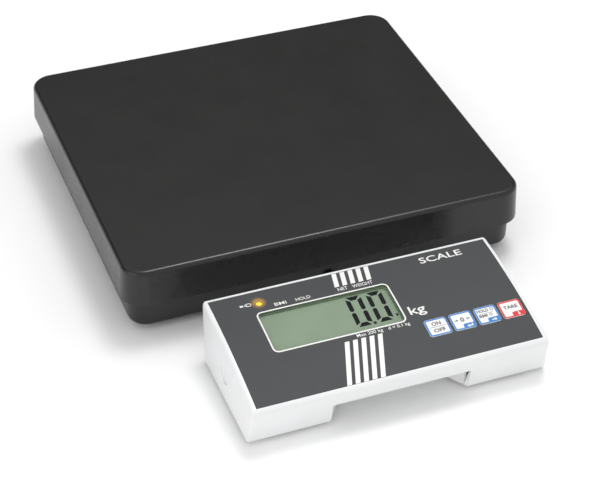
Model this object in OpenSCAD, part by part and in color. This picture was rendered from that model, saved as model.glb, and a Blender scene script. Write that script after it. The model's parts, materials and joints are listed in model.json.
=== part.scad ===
// Low floor scale: a platform on levelling feet and a free-standing display unit in front of it.
// Origin at the bottom centre of the whole row; +Y runs from the display unit to the platform.

/* [Platform] */
// Width of the cover at its top edge
cover_w = 302; // [290:1:320]
// Depth of the cover at its top edge
cover_d = 268; // [256:1:286]
// Height of the cover's top above the floor
scale_h = 57; // [57:0.5:60]
// Height of the cover's skirt
skirt_h = 28; // [22:1:32]
// Radius of the cover's corners in plan
corner_r = 16; // [14:1:26]
// Radius of the cover's top edge
edge_r = 3.5; // [2.6:0.1:5]
// Wall thickness of the cover
cover_t = 2.5; // [2:0.1:2.6]
// How far the skirt flares out towards its lower edge
flare = 1.2; // [0:0.1:1.5]
// How far the tray stands in from the cover
tray_inset = 3.5; // [3.5:0.1:6]

/* [Levelling feet] */
// Radius of a rubber foot pad
pad_r = 17; // [12:0.5:20]
// Radius of a foot's screw
foot_screw_r = 4; // [3:0.5:5]

/* [Display unit] */
// Width of the housing along its lower edge
display_w = 218; // [216:1:230]
// Gap between the cover and the housing's upper rear edge
display_gap = 27.6; // [20:0.2:60]
// Height of the highest point of the housing
display_h = 46; // [46:0.5:48]
// Radius of the housing's curved top
top_arc_r = 476; // [460:1:520]
// Width of a key
key_w = 16.4; // [15:0.1:17]
// Length of a key, front to back
key_l = 14.8; // [12:0.1:15]
// Distance between neighbouring keys' centres
key_pitch = 18.4; // [18:0.1:18.6]
// Width of the hollow under the housing's front edge
arch_w = 100; // [90:1:110]

/* [Hidden] */
$fn = 64;
gap = 0.3; // clearance between pieces that move past each other
snug = 0.05; // radial clearance of a screw in its hole
past = 1; // how far a cutter runs past the face that it cuts

// Heights in the platform, from the floor up
tray_z = 5.8;
tray_floor_t = 3;
tray_wall_t = 3;
tray_top_z = 38;
tray_lean = 0.5;
tray_edge_r = 4;
floor_z = tray_z + tray_floor_t;
skirt_z = scale_h - skirt_h;
spacer_t = 5.2;
cell_z = floor_z + spacer_t;
cell_h = 30;
frame_t = 4;
frame_z = cell_z + cell_h + 3;
upper_spacer_t = frame_z - cell_z - cell_h;
frame_top_z = frame_z + frame_t;
support_h = scale_h - cover_t - frame_top_z;
press_travel = 0.8; // how far the load frame sinks before it meets the overload stops

// Plan of the platform
tray_w = cover_w - 2 * tray_inset;
tray_d = cover_d - 2 * tray_inset;
tray_r = corner_r - tray_inset + 1.5;
foot_x = cover_w / 2 - 34;
foot_y = cover_d / 2 - 34;
cell_l = 150;
cell_w = 40;
cell_end_l = 40;
cell_screw_x = cell_l / 2 - cell_end_l / 2;
cell_screw_pitch = [20, 22];
m6_r = 3;
arm_w = 34;
arm_l = 296;
stop_x = 88;
stop_y = stop_x * foot_y / foot_x;
support_x = 106;
support_y = support_x * foot_y / foot_x;

// Feet, from the floor up
pad_h = 2.6;
pad_pocket_r = 5.5;
pad_pocket_z = 1.5;
wheel_r = 15;
wheel_top_z = 5.4;
foot_screw_top_z = 27;
insert_r = 7;
boss_h = 10;
notches = 12;

// Cable inlet in the tray's front wall
gland_r = 4;
gland_bore_r = 2.3;
gland_z = 14.5;
gland_l = 10;
lead_r = 2;
tray_front = -tray_d / 2;

// Display unit: side outline in (v, z), where v runs forwards from the upper rear edge
housing_z = 3;
rear_foot_v = 10.4;
rear_lean = 14;
front_foot_v = 99.1;
front_lean = 11.3;
rear_edge_r = 2;
front_edge_r = 4;
round_step = 0.03; // a round edge lies this far inside the faces that it joins, so that they never graze
wall_t = 2.5;
top_t = 2.6;
side_lean = 2.8 / 42;
arc_v = -8.5;
arc_z = display_h - top_arc_r;
arc_c = [arc_v, arc_z];

// Overlay and window, with v for front to back and x from the housing's centre
overlay_x = 103.3;
overlay_v = [3.4, 101.4];
overlay_top = 0.2;
overlay_t = 0.9;
window_x = [-76.2, 19.9];
window_v = [24.1, 62.2];
window_r = 4;
window_ledge = 1.4;
window_top = 0.25;
window_t = 1.65;
led_x = -70.5;
led_v = 15.4;
led_r = 1.85;

// Keys, measured from the surface at the row's centre
key_v = 73.1;
key_x = 37.6;
key_travel = 0.4;
key_top = 0.05;
key_bottom = -0.95;
key_nub = -1.2;
key_r = 2;
pocket_x = [27.2, 102.8];
pocket_l = 18;
pocket_floor = -2.4;
circuit_t = 0.4;
dome_h = 0.3;
tail_x = 28.4;

// Board and LCD, measured from the surface at the window's centre
lcd_v = (window_v[0] + window_v[1]) / 2;
lcd_x = (window_x[0] + window_x[1]) / 2;
lcd_size = [98.5, 41, 2.8];
lcd_top = -3.3;
board_top = -8.3;
board_t = 1.6;
board_x = [-92, 62];
board_y = [-36, 31];
board_post_x = [-87, 56];
board_post_y = 26;
m25_r = 1.25;

// Bottom of the display unit
base_t = 2.5;
recess_v = 72;
recess_top_z = 20;
recess_narrow = 10;
recess_flare_v = 84.7;
recess_wall = 2;
bay_x = 30.5;
bay_v = [14.8, 70.3];
bay_top_z = 21;
bay_wall = 1.5;
cell_aa_r = 7.1;
cell_aa_l = 50.5;
cell_aa_pitch = 14.7;
cell_aa_z = 12.9;
contact_t = 0.5;
spring_h = 3.5;
door_x = 31;
door_t = 2.2;
tongue = 1.5;
tongue_t = 0.7;
case_screw_x = 100;
case_screw_v = [29, 83];
case_screw_r = 1.5;
bumper_x = 97;
bumper_v = [18.5, 93];
bumper_r = 4.5;
socket_z = 30;
jack_x = 72;
socket_x = 88;
dimple_r = 7;
dimple_v = 50.4;
dimple_z = 21;
dimple_t = 0.8;

// Where a round edge between a leaning wall and the curved top has its centre
function wall_up(lean) = [sin(lean), cos(lean)];
function wall_out(lean, side) = side * [cos(lean), -sin(lean)];
function round_centre(foot, up, out, r) =
    let (base = foot - (r + round_step) * out, w = base - arc_c, along = w * up, reach = top_arc_r - r - round_step)
    base + up * (sqrt(along * along - w * w + reach * reach) - along);
front_up = wall_up(front_lean);
front_out = wall_out(front_lean, 1);
rear_up = wall_up(-rear_lean);
rear_out = wall_out(-rear_lean, -1);
front_c = round_centre([front_foot_v, housing_z], front_up, front_out, front_edge_r);
rear_c = round_centre([rear_foot_v, housing_z], rear_up, rear_out, rear_edge_r);
front_reach = front_c[0] + front_edge_r;

// Where the two units stand in the row
row_l = cover_d + flare + display_gap + front_reach;
platform_y = row_l / 2 - flare - cover_d / 2;
display_y = platform_y - cover_d / 2 - display_gap;

function side(z) = display_w / 2 - side_lean * (z - housing_z);
function rear(z) = rear_foot_v - (z - housing_z) * tan(rear_lean);
function front(z) = front_foot_v + (z - housing_z) * tan(front_lean);
function slope(v) = asin((v - arc_v) / top_arc_r);
function top_z(v) = arc_z + top_arc_r * cos(slope(v));

// ---- shared shapes ----

module at_corners(x, y) {
    for (sx = [-1, 1], sy = [-1, 1]) translate([sx * x, sy * y, 0]) children();
}

// A section swept round a rounded rectangle; its x is measured outwards from the corner's centre
module sweep_round(w, d, r) {
    for (turn = [0:3]) {
        a = (turn % 2 == 0 ? w : d) / 2 - r;
        b = (turn % 2 == 0 ? d : w) / 2 - r;
        rotate(90 * turn) translate([a, b, 0]) {
            rotate_extrude(angle = 90) children();
            rotate([90, 0, 0]) linear_extrude(2 * b) children();
        }
    }
}

module round_rect(w, d, r) {
    square([w - 2 * r, d], center = true);
    square([w, d - 2 * r], center = true);
    at_corners(w / 2 - r, d / 2 - r) circle(r);
}

module on_platform() {
    translate([0, platform_y, 0]) children();
}

// Draws a (v, z) outline as a bar of the given width across the display unit
module across(width, x = 0) {
    translate([x, display_y, 0]) rotate([90, 0, -90]) linear_extrude(width, center = true) children();
}

// Draws a (v, x) place on the display unit's floor plan
module at_v(v, x = 0, z = 0) {
    translate([x, display_y - v, z]) children();
}

// Turns children so that their z stands square to the curved top at v
module on_surface(v, x = 0) {
    at_v(v, x, top_z(v)) rotate([slope(v), 0, 0]) children();
}

module box(x, v, z) {
    translate([x[0], display_y - v[1], z[0]]) cube([x[1] - x[0], v[1] - v[0], z[1] - z[0]]);
}

// ---- platform ----

module tray_section() {
    difference() {
        union() {
            polygon([
                [0, tray_z], [tray_r - tray_lean - tray_edge_r, tray_z],
                [tray_r - tray_lean, tray_z + tray_edge_r], [tray_r, tray_top_z], [0, tray_top_z]
            ]);
            translate([tray_r - tray_lean - tray_edge_r, tray_z + tray_edge_r]) circle(tray_edge_r);
        }
        polygon([
            [-past, floor_z], [tray_r - tray_lean - tray_wall_t, floor_z],
            [tray_r - tray_wall_t, tray_top_z + past], [-past, tray_top_z + past]
        ]);
    }
}

module base_tray() {
    color("#202020") on_platform() difference() {
        union() {
            sweep_round(tray_w, tray_d, tray_r) tray_section();
            translate([0, 0, tray_z + tray_floor_t / 2])
                cube([tray_w - 2 * tray_r, tray_d - 2 * tray_r, tray_floor_t], center = true);
            at_corners(foot_x, foot_y) translate([0, 0, tray_z]) cylinder(h = boss_h, r = insert_r + 3);
            at_corners(stop_x, stop_y) translate([0, 0, tray_z]) cylinder(h = boss_h, r = 8);
        }
        at_corners(foot_x, foot_y) translate([0, 0, tray_z - past])
            cylinder(h = boss_h + 2 * past, r = insert_r);
        at_corners(stop_x, stop_y) translate([0, 0, floor_z]) cylinder(h = boss_h, r = 4 + snug);
        cell_screw_holes(-cell_screw_x, tray_z - past, tray_floor_t + 2 * past, 0.2);
        translate([0, tray_front - past, gland_z]) rotate([-90, 0, 0])
            cylinder(h = 3 * tray_wall_t, r = gland_r + snug);
    }
}

module foot_inserts() {
    color("#b59a5a") on_platform() at_corners(foot_x, foot_y) translate([0, 0, tray_z]) difference() {
        cylinder(h = boss_h, r = insert_r);
        translate([0, 0, -past]) cylinder(h = boss_h + 2 * past, r = foot_screw_r + snug);
    }
}

module overload_stops() {
    color("#9a9a9a") on_platform() at_corners(stop_x, stop_y)
        translate([0, 0, floor_z]) cylinder(h = frame_z - floor_z - press_travel - gap, r = 4);
}

module cell_screw_holes(x, z, h, clearance) {
    translate([x, 0, z]) at_corners(cell_screw_pitch[0] / 2, cell_screw_pitch[1] / 2)
        cylinder(h = h, r = m6_r + clearance);
}

module cell_spacer(x, z, h) {
    on_platform() difference() {
        translate([x - cell_end_l / 2, -cell_w / 2, z]) cube([cell_end_l, cell_w, h]);
        cell_screw_holes(x, z - past, h + 2 * past, 0.2);
    }
}

module lower_spacer() {
    color("#8f9092") cell_spacer(-cell_screw_x, floor_z, spacer_t);
}

module upper_spacer() {
    color("#8f9092") cell_spacer(cell_screw_x, cell_z + cell_h, upper_spacer_t);
}

// Aluminium beam with the usual two-lobed window across its middle
module load_cell() {
    lobe_x = 20;
    lobe_r = 10;
    color("#c4c7ca") on_platform() difference() {
        translate([-cell_l / 2, -cell_w / 2, cell_z]) cube([cell_l, cell_w, cell_h]);
        for (x = [-lobe_x, lobe_x]) translate([x, 0, cell_z + cell_h / 2]) rotate([90, 0, 0])
            cylinder(h = cell_w + 2 * past, r = lobe_r, center = true);
        translate([0, 0, cell_z + cell_h / 2]) cube([2 * lobe_x, cell_w + 2 * past, 6], center = true);
        cell_screw_holes(-cell_screw_x, cell_z - past, 16 + past, snug);
        cell_screw_holes(cell_screw_x, cell_z + cell_h - 16, 16 + past, snug);
    }
}

// Round-headed screws; up says whether they are driven upwards
module cell_screws(x, z, length, up) {
    on_platform() translate([x, 0, z]) mirror([0, 0, up ? 0 : 1])
        at_corners(cell_screw_pitch[0] / 2, cell_screw_pitch[1] / 2) {
            cylinder(h = length, r = m6_r);
            translate([0, 0, -2.6]) difference() {
                cylinder(h = 2.6, r = 5.2);
                translate([0, 0, -past]) cylinder(h = 2.4, r = 2.2, $fn = 6);
            }
        }
}

module cell_base_screws() {
    color("#77787a") cell_screws(-cell_screw_x, tray_z, tray_floor_t + spacer_t + 14, true);
}

module cell_top_screws() {
    color("#77787a") cell_screws(cell_screw_x, frame_top_z, frame_t + upper_spacer_t + 14, false);
}

module gauge_cover() {
    color("#dcdcd6") on_platform()
        translate([-30, -cell_w / 2 - 1.6, cell_z + 1]) cube([60, 1.6, cell_h - 2]);
}

module load_cell_lead() {
    start = -cell_w / 2 - 1.6;
    color("#2b2b2d") on_platform() translate([0, start, gland_z]) rotate([90, 0, 0])
        cylinder(h = start - tray_front - gland_l, r = lead_r);
}

module cable_gland() {
    color("#1c1c1d") on_platform() translate([0, tray_front, gland_z]) rotate([-90, 0, 0])
        difference() {
            union() {
                translate([0, 0, -1.4]) cylinder(h = 1.6, r = gland_r + 0.9);
                cylinder(h = gland_l, r = gland_r);
            }
            translate([0, 0, -3]) cylinder(h = gland_l + 3 + past, r = gland_bore_r);
        }
}

module gland_nut() {
    color("#2c2c2e") on_platform() translate([0, tray_front + 4.8, gland_z]) rotate([-90, 0, 0])
        difference() {
            cylinder(h = 3.4, r = gland_r + 1.9, $fn = 6);
            translate([0, 0, -past]) cylinder(h = 3.4 + 2 * past, r = gland_r + snug);
        }
}

// Flat steel spider that carries the cover on the load cell's free end
module load_frame() {
    arm_angle = atan(foot_y / foot_x);
    color("#6f7477") on_platform() difference() {
        translate([0, 0, frame_z]) linear_extrude(frame_t) difference() {
            union() {
                for (s = [-1, 1]) rotate(s * arm_angle) square([arm_l, arm_w], center = true);
                square([170, 110], center = true);
            }
            circle(18);
            for (s = [-1, 1]) translate([0, s * 40]) circle(9);
            for (s = [-1, 1]) rotate(s * arm_angle) for (t = [-1, 1]) translate([t * 116, 0]) circle(5);
        }
        cell_screw_holes(cell_screw_x, frame_z - past, frame_t + 2 * past, 0.2);
    }
}

module support_pads() {
    color("#303032") on_platform() at_corners(support_x - 8, support_y - 8)
        translate([0, 0, frame_top_z]) cylinder(h = support_h, r = 10);
}

module cover_section() {
    difference() {
        union() {
            polygon([
                [0, skirt_z], [corner_r + flare, skirt_z], [corner_r, scale_h - edge_r],
                [corner_r - edge_r, scale_h], [0, scale_h]
            ]);
            translate([corner_r - edge_r, scale_h - edge_r]) circle(edge_r);
        }
        polygon([
            [-past, skirt_z - past], [corner_r + flare - cover_t, skirt_z - past],
            [corner_r - cover_t, scale_h - cover_t], [-past, scale_h - cover_t]
        ]);
    }
}

module platform_cover() {
    color("#3b3b39") on_platform() {
        sweep_round(cover_w, cover_d, corner_r) cover_section();
        translate([0, 0, scale_h - cover_t / 2])
            cube([cover_w - 2 * corner_r, cover_d - 2 * corner_r, cover_t], center = true);
    }
}

// ---- levelling feet ----

module foot_pad(sx, sy) {
    color("#262626") on_platform() translate([sx * foot_x, sy * foot_y, 0]) difference() {
        cylinder(h = pad_h, r = pad_r);
        translate([0, 0, pad_pocket_z]) cylinder(h = pad_h, r = pad_pocket_r);
    }
}

// Ball-ended screw with a notched thumb wheel
module foot_screw(sx, sy) {
    color("#8d8f91") on_platform() translate([sx * foot_x, sy * foot_y, 0]) difference() {
        union() {
            translate([0, 0, pad_pocket_z + gap]) cylinder(h = pad_h, r = pad_pocket_r - gap);
            translate([0, 0, pad_h + gap]) cylinder(h = wheel_top_z - pad_h - gap, r = wheel_r);
            translate([0, 0, pad_h + gap]) cylinder(h = foot_screw_top_z - pad_h - gap, r = foot_screw_r);
        }
        for (i = [0:notches - 1]) rotate(360 / notches * i) translate([wheel_r + 0.6, 0, 0])
            cylinder(h = wheel_top_z + past, r = 1.6);
    }
}

// ---- display unit: shells ----

// Either the wedge of the corner to cut away, or the round that goes into it
module round_corner(c, out, r, keep) {
    up = (c - arc_c) / norm(c - arc_c);
    if (keep) translate(c) circle(r);
    else polygon([c, c + 3 * r * out, c + 4 * r * (out + up), c + 3 * r * up]);
}

module side_outline() {
    difference() {
        intersection() {
            translate(arc_c) circle(top_arc_r, $fn = 256);
            polygon([
                [rear(housing_z), housing_z], [front(housing_z), housing_z],
                [front(display_h + 4), display_h + 4], [rear(display_h + 4), display_h + 4]
            ]);
        }
        round_corner(front_c, front_out, front_edge_r, false);
        round_corner(rear_c, rear_out, rear_edge_r, false);
    }
    round_corner(front_c, front_out, front_edge_r, true);
    round_corner(rear_c, rear_out, rear_edge_r, true);
}

module cavity_outline() {
    intersection() {
        translate(arc_c) circle(top_arc_r - top_t, $fn = 256);
        polygon([
            [rear(-past) + wall_t, -past], [front(-past) - wall_t, -past],
            [front(display_h) - wall_t, display_h], [rear(display_h) + wall_t, display_h]
        ]);
    }
}

// Front view of the housing, less a margin, as a bar from front to back
module front_wedge(margin) {
    at_v(0) translate([0, 10, 0]) rotate([90, 0, 0]) linear_extrude(130) polygon([
        [-side(-past) + margin, -past], [side(-past) - margin, -past],
        [side(display_h + 2) - margin, display_h + 2], [-side(display_h + 2) + margin, display_h + 2]
    ]);
}

// Band of the curved top between two depths, over a stretch of v
module surface_band(from, to, v) {
    intersection() {
        difference() {
            translate(arc_c) circle(top_arc_r - from, $fn = 256);
            translate(arc_c) circle(top_arc_r - to, $fn = 256);
        }
        translate([v[0], display_h - 30]) square([v[1] - v[0], 40]);
    }
}

module recess_outline(margin) {
    polygon([
        [-arch_w / 2 - margin + recess_narrow, -recess_v + margin],
        [arch_w / 2 + margin - recess_narrow, -recess_v + margin],
        [arch_w / 2 + margin - recess_narrow, -recess_flare_v],
        [arch_w / 2 + margin, -front_foot_v], [arch_w / 2 + margin, -front_foot_v - 10],
        [-arch_w / 2 - margin, -front_foot_v - 10], [-arch_w / 2 - margin, -front_foot_v],
        [-arch_w / 2 - margin + recess_narrow, -recess_flare_v]
    ]);
}

module window_prism(inset) {
    at_v(lcd_v, lcd_x) linear_extrude(display_h + 10) round_rect(
        window_x[1] - window_x[0] - 2 * inset, window_v[1] - window_v[0] - 2 * inset, window_r - inset / 2
    );
}

module key_shape(grow) {
    round_rect(key_w + 2 * grow, key_l + 2 * grow, key_r + grow);
}

module at_keys() {
    for (i = [0:3]) on_surface(key_v, key_x + i * key_pitch) children();
}

module at_board_posts() {
    for (x = board_post_x, y = [-board_post_y, board_post_y]) on_surface(lcd_v, x) translate([0, y, 0])
        children();
}

module at_case_screws() {
    for (x = [-case_screw_x, case_screw_x], v = case_screw_v) at_v(v, x) children();
}

module display_housing() {
    color("#eceef0") difference() {
        union() {
            difference() {
                intersection() {
                    across(display_w + 2) side_outline();
                    front_wedge(0);
                }
                intersection() {
                    across(display_w + 2) cavity_outline();
                    front_wedge(wall_t);
                }
            }
            on_surface(key_v) translate([pocket_x[0] - 1.5, -pocket_l / 2 - 1.5, pocket_floor - 1])
                cube([pocket_x[1] - pocket_x[0] + 3, pocket_l + 3, 1.6]);
            at_board_posts() translate([0, 0, board_top]) cylinder(h = -board_top - 2.4, r = 3);
            intersection() {
                at_case_screws() translate([0, 0, housing_z + base_t + 0.2]) cylinder(h = 36, r = 3.5);
                across(display_w) cavity_outline();
            }
        }
        across(2 * overlay_x + 0.2) surface_band(-4, overlay_top + overlay_t, overlay_v + [-0.1, 0.1]);
        intersection() {
            across(display_w) surface_band(-4, window_top + window_t, [0, 90]);
            window_prism(-0.1);
        }
        window_prism(window_ledge);
        on_surface(key_v) translate([pocket_x[0], -pocket_l / 2, pocket_floor])
            cube([pocket_x[1] - pocket_x[0], pocket_l, 4]);
        on_surface(key_v) translate([tail_x - 0.5, -3.2, -6]) cube([1, 6.4, 6]);
        on_surface(lcd_v, led_x) translate([0, lcd_v - led_v, -6]) cylinder(h = 8, r = led_r + 0.3);
        at_board_posts() translate([0, 0, board_top - past]) cylinder(h = 5, r = m25_r + snug);
        at_case_screws() cylinder(h = 18, r = case_screw_r + snug);
        at_v(0) translate([0, 0, -past]) linear_extrude(recess_top_z + past) recess_outline(0);
        for (s = [-1, 1]) at_v(dimple_v, s * (side(dimple_z) - dimple_t), dimple_z) rotate([0, s * 90, 0])
            cylinder(h = 5, r = dimple_r);
        at_v(15, jack_x, socket_z) rotate([-90, 0, 0]) cylinder(h = 20, r = 4 + snug);
        at_v(15, socket_x, socket_z) rotate([-90, 0, 0]) cylinder(h = 20, r = 5.5 + snug);
    }
}

// Bottom shell: floor plate, front finger hollow and battery bay
module display_base() {
    top = housing_z + base_t;
    ceiling = recess_top_z + recess_wall;
    inner = wall_t + 0.25;
    color("#e2e4e6") difference() {
        union() {
            difference() {
                union() {
                    box([-side(top) + inner, side(top) - inner],
                        [rear(housing_z) + inner, front(housing_z) - inner], [housing_z, top]);
                    intersection() {
                        at_v(0, 0, housing_z) linear_extrude(ceiling - housing_z)
                            recess_outline(recess_wall);
                        box([-80, 80], [60, front(housing_z) - inner], [0, 40]);
                    }
                }
                at_v(0, 0, -past) linear_extrude(recess_top_z + past) recess_outline(0);
            }
            box([-bay_x - bay_wall, bay_x + bay_wall], [bay_v[0] - bay_wall, bay_v[1] + bay_wall],
                [housing_z, bay_top_z + bay_wall]);
        }
        box([-bay_x, bay_x], bay_v, [top - past, bay_top_z]);
        box([-door_x - gap, door_x + gap], [bay_v[0], 90], [0, top + 0.1]);
        box([-door_x - tongue - gap, door_x + tongue + gap], [bay_v[0], 90],
            [housing_z + 0.9 - gap, housing_z + 0.9 + tongue_t + gap]);
        at_case_screws() {
            cylinder(h = 20, r = case_screw_r + 0.2);
            cylinder(h = housing_z + 1.4, r = 3);
        }
    }
}

module battery_door() {
    length = bay_v[1] - bay_v[0] - 2 * gap;
    color("#dfe1e3") difference() {
        union() {
            box([-door_x, door_x], [bay_v[0] + gap, bay_v[0] + gap + length], [housing_z, housing_z + door_t]);
            box([-door_x - tongue, door_x + tongue], [bay_v[0] + gap, bay_v[0] + gap + length],
                [housing_z + 0.9, housing_z + 0.9 + tongue_t]);
        }
        for (i = [0:4]) at_v(bay_v[1] - 14 + 2.4 * i, -12, housing_z - past)
            cube([24, 1.2, past + 0.6]);
    }
}

module display_feet() {
    color("#d8dcdf") for (x = [-bumper_x, bumper_x], v = bumper_v) at_v(v, x) intersection() {
        translate([0, 0, 5]) sphere(r = 5.3);
        cylinder(h = housing_z, r = bumper_r);
    }
}

module case_screws() {
    color("#9b9da0") at_case_screws() {
        translate([0, 0, housing_z + 1.4]) cylinder(h = 12, r = case_screw_r);
        translate([0, 0, housing_z + 0.3]) difference() {
            cylinder(h = 1.1, r = 2.8);
            for (a = [0, 90]) rotate(a) translate([0, 0, 0.2]) cube([3, 0.6, 1.2], center = true);
        }
    }
}

// ---- display unit: keypad ----

module keypad_overlay() {
    color("#58595b") difference() {
        across(2 * overlay_x) surface_band(overlay_top, overlay_top + overlay_t, overlay_v);
        window_prism(0);
        at_keys() translate([0, 0, -4]) linear_extrude(8) key_shape(gap);
        on_surface(lcd_v, led_x) translate([0, lcd_v - led_v, -6]) cylinder(h = 8, r = led_r + 0.1);
    }
}

module keypad_circuit() {
    color("#c9a86a") {
        on_surface(key_v) translate([pocket_x[0] + 0.2, -pocket_l / 2 + 0.2, pocket_floor])
            cube([pocket_x[1] - pocket_x[0] - 0.4, pocket_l - 0.4, circuit_t]);
        on_surface(key_v) translate([tail_x - 0.15, -2.6, -6]) cube([0.3, 5.2, 6 + pocket_floor + 0.1]);
    }
}

module key_domes() {
    color("#c8cacc") at_keys() translate([0, 0, pocket_floor + circuit_t]) cylinder(h = dome_h, r1 = 5, r2 = 2.5);
}

module key(i) {
    color("#f4f4f4") on_surface(key_v, key_x + i * key_pitch) {
        translate([0, 0, key_bottom]) linear_extrude(key_top - key_bottom) key_shape(0);
        translate([0, 0, key_nub]) cylinder(h = key_bottom - key_nub, r = 1.6);
    }
}

// ---- display unit: window, LCD and board ----

module lcd_window() {
    color([0.9, 0.95, 0.95, 0.35]) intersection() {
        across(display_w) surface_band(window_top, window_top + window_t, [0, 90]);
        window_prism(0.1);
    }
}

module on_board(x) {
    on_surface(lcd_v, x) children();
}

module slab(x, y, z) {
    translate([x[0], y[0], z[0]]) cube([x[1] - x[0], y[1] - y[0], z[1] - z[0]]);
}

module lcd_panel() {
    color("#8fa386") on_board(lcd_x) translate([0, 0, lcd_top - lcd_size[2] / 2]) cube(lcd_size, center = true);
}

module lcd_holder() {
    height = 4.5;
    color("#2a2b2c") on_board(lcd_x) translate([0, 0, board_top]) difference() {
        linear_extrude(height) round_rect(lcd_size[0] + 5.5, lcd_size[1] + 5.5, 2);
        translate([0, 0, height / 2])
            cube([lcd_size[0] + 0.2, lcd_size[1] + 0.2, height + 2 * past], center = true);
    }
}

module zebra_strips() {
    y = lcd_size[1] / 2 - 2;
    color("#5a3f45") for (s = [-1, 1]) on_board(lcd_x) slab(
        [-lcd_size[0] / 2 + 3, lcd_size[0] / 2 - 3], [s * y - 1, s * y + 1],
        [board_top, lcd_top - lcd_size[2]]
    );
}

module main_board() {
    color("#1f6b3a") difference() {
        on_board(0) slab(board_x, board_y, [board_top - board_t, board_top]);
        at_board_posts() translate([0, 0, board_top - board_t - past])
            cylinder(h = board_t + 2 * past, r = m25_r + 0.15);
    }
}

module board_chips() {
    chip_h = 1.5;
    color("#1a1a1b") on_board(0) {
        slab([38, 50], [-16, -4], [board_top, board_top + chip_h]);
        slab([54, 59], [-8, 0], [board_top, board_top + chip_h]);
        slab([-40, -28], [-8, 4], [board_top - board_t - chip_h, board_top - board_t]);
        slab([0, 6], [-8, 0], [board_top - board_t - chip_h, board_top - board_t]);
    }
}

module tail_connector() {
    y = lcd_v - key_v;
    color("#e8e4d8") on_board(tail_x) difference() {
        slab([-2.2, 2.2], [y - 4, y + 4], [board_top, board_top + 2.6]);
        slab([-0.4, 0.4], [y - 3.3, y + 3.3], [board_top + 0.7, board_top + 4]);
    }
}

module indicator_led() {
    sink = 1.1;
    color("#ffc400") on_board(led_x) translate([0, lcd_v - led_v, 0]) {
        translate([0, 0, board_top]) cylinder(h = -board_top - sink - led_r, r = led_r);
        translate([0, 0, -sink - led_r]) sphere(r = led_r);
        translate([0, 0, board_top]) cylinder(h = 1.2, r = led_r + 0.5);
    }
}

module buzzer() {
    color("#161617") on_board(44) translate([0, 12, board_top]) difference() {
        cylinder(h = 4.4, r = 6);
        translate([0, 0, 3.4]) cylinder(h = 2, r = 1);
    }
}

module board_screws() {
    color("#a2a4a6") at_board_posts() {
        translate([0, 0, board_top - board_t]) cylinder(h = board_t + 3.2, r = m25_r);
        translate([0, 0, board_top - board_t - 1.7]) cylinder(h = 1.7, r = 2.4);
    }
}

// ---- display unit: battery and sockets ----

module at_cells() {
    for (i = [0:3]) at_v(0, (i - 1.5) * cell_aa_pitch, cell_aa_z) rotate([90, 0, 0])
        translate([0, 0, (bay_v[0] + bay_v[1]) / 2]) mirror([0, 0, i % 2]) children();
}

// Every other cell is turned round, with its spring at the other end
module battery_cells() {
    body_l = cell_aa_l - 1;
    color("#3d6ea5") at_cells() translate([0, 0, -(bay_v[1] - bay_v[0]) / 2 + contact_t]) {
        cylinder(h = 1, r = 2.7);
        translate([0, 0, 1]) cylinder(h = body_l, r = cell_aa_r);
    }
}

module contact_springs() {
    wire_r = 0.45;
    turns = 4;
    free = bay_v[1] - bay_v[0] - 2 * contact_t - cell_aa_l;
    step = (free - 2 * wire_r) / (turns - 1);
    color("#d5d6d8") at_cells() translate([0, 0, (bay_v[1] - bay_v[0]) / 2 - contact_t]) {
        for (i = [0:turns - 1]) translate([0, 0, -wire_r - i * step]) rotate_extrude()
            translate([4.5 - 0.5 * i, 0]) circle(wire_r, $fn = 24);
        for (a = [0, 180]) rotate(a) translate([3.6, 0, -free + wire_r])
            rotate([0, 20, 0]) cylinder(h = free - 2 * wire_r, r = 0.3, $fn = 24);
    }
}

module contact_plates() {
    half = (bay_v[1] - bay_v[0]) / 2;
    color("#cfd0d2") at_cells() for (z = [-half, half - contact_t]) translate([-5.5, -5.5, z])
        cube([11, 11, contact_t]);
}

// Barrel socket for a mains adapter
module dc_jack() {
    color("#202022") at_v(21, jack_x, socket_z) rotate([-90, 0, 0]) difference() {
        union() {
            translate([-4.5, -5.5, 0]) cube([9, 11, 13]);
            cylinder(h = 17, r = 4);
        }
        difference() {
            translate([0, 0, 8]) cylinder(h = 12, r = 2.8);
            cylinder(h = 16, r = 1);
        }
    }
}

// Round socket for the platform's cord
module cable_socket() {
    pins = 4;
    color("#b9bbbd") at_v(21, socket_x, socket_z) rotate([-90, 0, 0]) {
        difference() {
            union() {
                cylinder(h = 13, r = 7);
                cylinder(h = 17, r = 5.5);
            }
            translate([0, 0, 8]) cylinder(h = 12, r = 4.2);
        }
        for (i = [0:pins - 1]) rotate(45 + 360 / pins * i) translate([2.2, 0, 7.9])
            cylinder(h = 7, r = 0.5, $fn = 24);
    }
}

base_tray();
foot_inserts();
lower_spacer();
load_cell();
cell_base_screws();
gauge_cover();
load_cell_lead();
cable_gland();
gland_nut();
overload_stops();
upper_spacer();
load_frame();
cell_top_screws();
support_pads();
platform_cover();
foot_pad(-1, -1);  // foot_pad_front_left
foot_pad(1, -1);  // foot_pad_front_right
foot_pad(-1, 1);  // foot_pad_rear_left
foot_pad(1, 1);  // foot_pad_rear_right
foot_screw(-1, -1);  // foot_screw_front_left
foot_screw(1, -1);  // foot_screw_front_right
foot_screw(-1, 1);  // foot_screw_rear_left
foot_screw(1, 1);  // foot_screw_rear_right
display_housing();
display_base();
keypad_overlay();
keypad_circuit();
key_domes();
lcd_window();
lcd_panel();
lcd_holder();
zebra_strips();
main_board();
board_chips();
tail_connector();
indicator_led();
buzzer();
board_screws();
case_screws();
display_feet();
battery_cells();
contact_springs();
contact_plates();
dc_jack();
cable_socket();
key(0);  // key_on_off
key(1);  // key_zero
key(2);  // key_hold
key(3);  // key_tare
battery_door();
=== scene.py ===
"""Looks for a low floor scale with a separate display unit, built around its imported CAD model."""

import json
import math

import bmesh
import bpy
from mathutils import Matrix, Vector


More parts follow.
